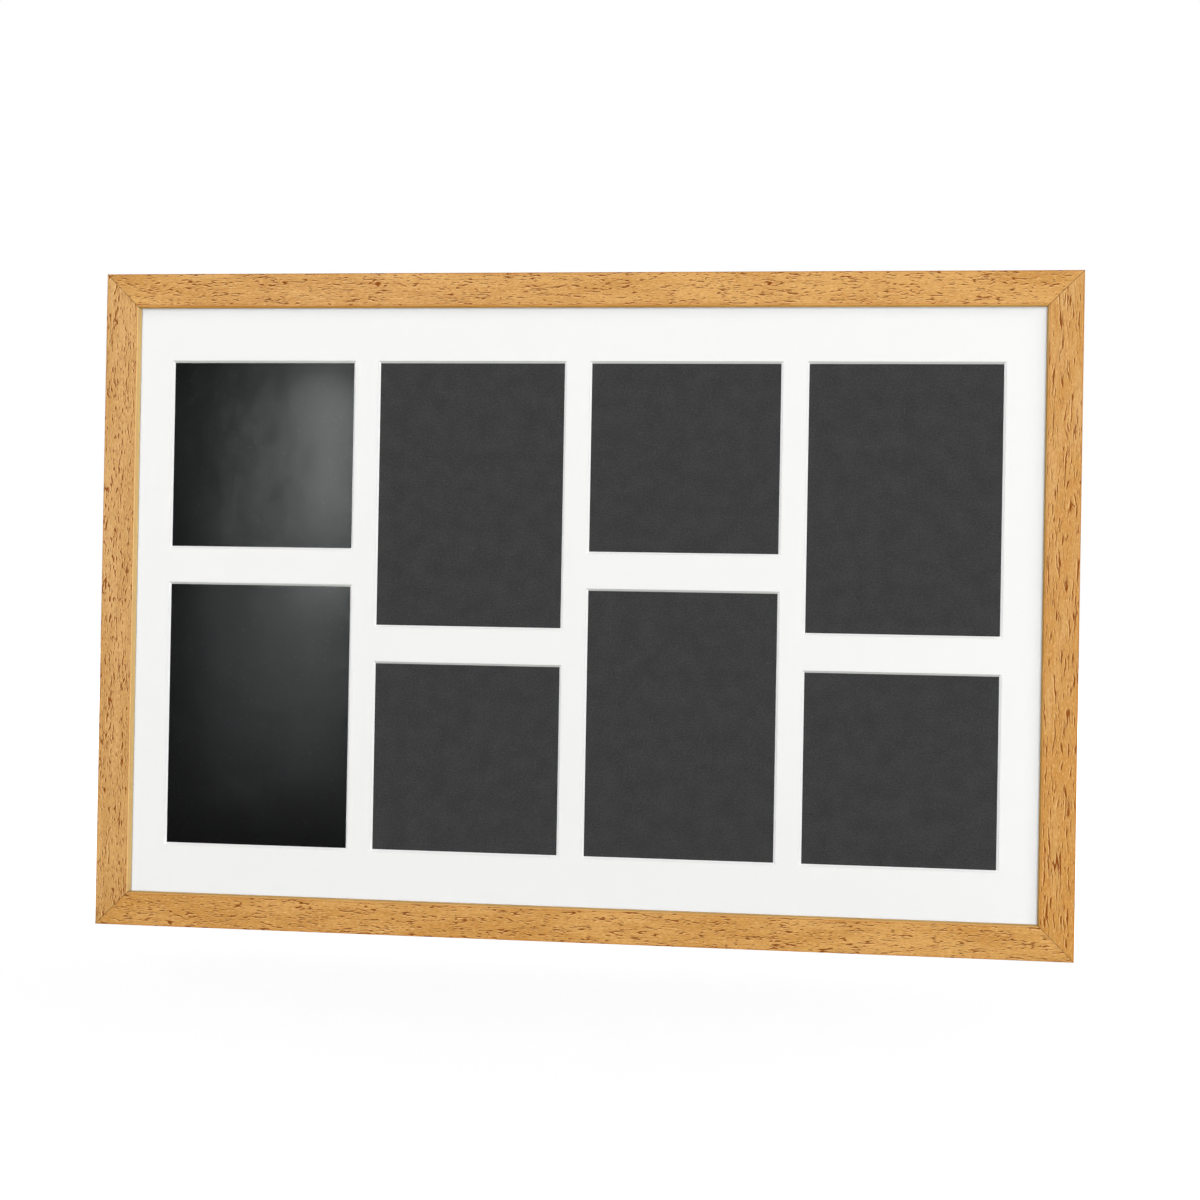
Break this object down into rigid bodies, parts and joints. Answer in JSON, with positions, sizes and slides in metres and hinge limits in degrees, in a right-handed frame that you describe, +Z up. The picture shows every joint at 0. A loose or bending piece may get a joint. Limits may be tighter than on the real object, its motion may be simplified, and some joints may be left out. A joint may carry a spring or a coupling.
{
  "type": "collage photo frame",
  "caption": "Landscape wooden collage photo frame: mitred rails round a white bevel-cut mat with square and tall windows, held by turn buttons behind and hung from D rings.",
  "frame": {"origin": "middle of the lower edge, on its underside, at half the depth of the rails", "axes": "+X along the frame to the viewer's right, +Y to the rear (the front faces -Y), +Z up"},
  "size_m": [0.6432, 0.0185, 0.4379],
  "materials": {
    "honey_wood": "satin lacquer on a flecked grain",
    "clear_glazing": "clear, polished",
    "white_mat": "matte, bevelled white core",
    "gloss_black_card": "gloss",
    "charcoal_card": "matte, faintly mottled",
    "fibreboard": "smooth pressed fibre",
    "nail_steel": "dull",
    "plated_steel": "zinc plated, stamped",
    "ring_wire": "bright drawn wire",
    "screw_steel": "zinc plated",
    "bumper_rubber": "soft matte"
  },
  "bodies": {
    "frame": {"top_rail": "honey_wood", "bottom_rail": "honey_wood", "left_rail": "honey_wood", "right_rail": "honey_wood", "glazing": "clear_glazing", "mat_board": "white_mat", "photo_card_1_upper": "gloss_black_card", "photo_card_1_lower": "gloss_black_card", "photo_card_2_upper": "charcoal_card", "photo_card_2_lower": "charcoal_card", "photo_card_3_upper": "charcoal_card", "photo_card_3_lower": "charcoal_card", "photo_card_4_upper": "charcoal_card", "photo_card_4_lower": "charcoal_card", "backing_board": "fibreboard", "corner_v_nails": "nail_steel", "turn_button_screws": "screw_steel", "hanger_strap_left": "plated_steel", "hanger_strap_right": "plated_steel", "hanger_screws": "screw_steel", "wall_bumpers": "bumper_rubber"},
    "turn_button_top_left": {"turn_button_top_left": "plated_steel"},
    "turn_button_top_middle": {"turn_button_top_middle": "plated_steel"},
    "turn_button_top_right": {"turn_button_top_right": "plated_steel"},
    "turn_button_bottom_left": {"turn_button_bottom_left": "plated_steel"},
    "turn_button_bottom_middle": {"turn_button_bottom_middle": "plated_steel"},
    "turn_button_bottom_right": {"turn_button_bottom_right": "plated_steel"},
    "turn_button_left_side": {"turn_button_left_side": "plated_steel"},
    "turn_button_right_side": {"turn_button_right_side": "plated_steel"},
    "hanger_ring_left": {"hanger_ring_left": "ring_wire"},
    "hanger_ring_right": {"hanger_ring_right": "ring_wire"}
  },
  "joints": [
    {"name": "turn_button_top_left_turn", "type": "hinge", "parent": "frame", "child": "turn_button_top_left", "pos_m": [-0.2, 0.007, 0.4299], "axis": [0, 1, 0], "continuous": true},
    {"name": "turn_button_top_middle_turn", "type": "hinge", "parent": "frame", "child": "turn_button_top_middle", "pos_m": [0, 0.007, 0.4299], "axis": [0, 1, 0], "continuous": true},
    {"name": "turn_button_top_right_turn", "type": "hinge", "parent": "frame", "child": "turn_button_top_right", "pos_m": [0.2, 0.007, 0.4299], "axis": [0, 1, 0], "continuous": true},
    {"name": "turn_button_bottom_left_turn", "type": "hinge", "parent": "frame", "child": "turn_button_bottom_left", "pos_m": [-0.2, 0.007, 0.008], "axis": [0, 1, 0], "continuous": true},
    {"name": "turn_button_bottom_middle_turn", "type": "hinge", "parent": "frame", "child": "turn_button_bottom_middle", "pos_m": [0, 0.007, 0.008], "axis": [0, 1, 0], "continuous": true},
    {"name": "turn_button_bottom_right_turn", "type": "hinge", "parent": "frame", "child": "turn_button_bottom_right", "pos_m": [0.2, 0.007, 0.008], "axis": [0, 1, 0], "continuous": true},
    {"name": "turn_button_left_side_turn", "type": "hinge", "parent": "frame", "child": "turn_button_left_side", "pos_m": [-0.31355, 0.007, 0.21895], "axis": [0, 1, 0], "continuous": true},
    {"name": "turn_button_right_side_turn", "type": "hinge", "parent": "frame", "child": "turn_button_right_side", "pos_m": [0.31355, 0.007, 0.21895], "axis": [0, 1, 0], "continuous": true},
    {"name": "hanger_ring_left_swing", "type": "hinge", "parent": "frame", "child": "hanger_ring_left", "pos_m": [-0.31355, 0.009, 0.3279], "axis": [1, 0, 0], "range_deg": [0, 180]},
    {"name": "hanger_ring_right_swing", "type": "hinge", "parent": "frame", "child": "hanger_ring_right", "pos_m": [0.31355, 0.009, 0.3279], "axis": [1, 0, 0], "range_deg": [0, 180]}
  ]
}
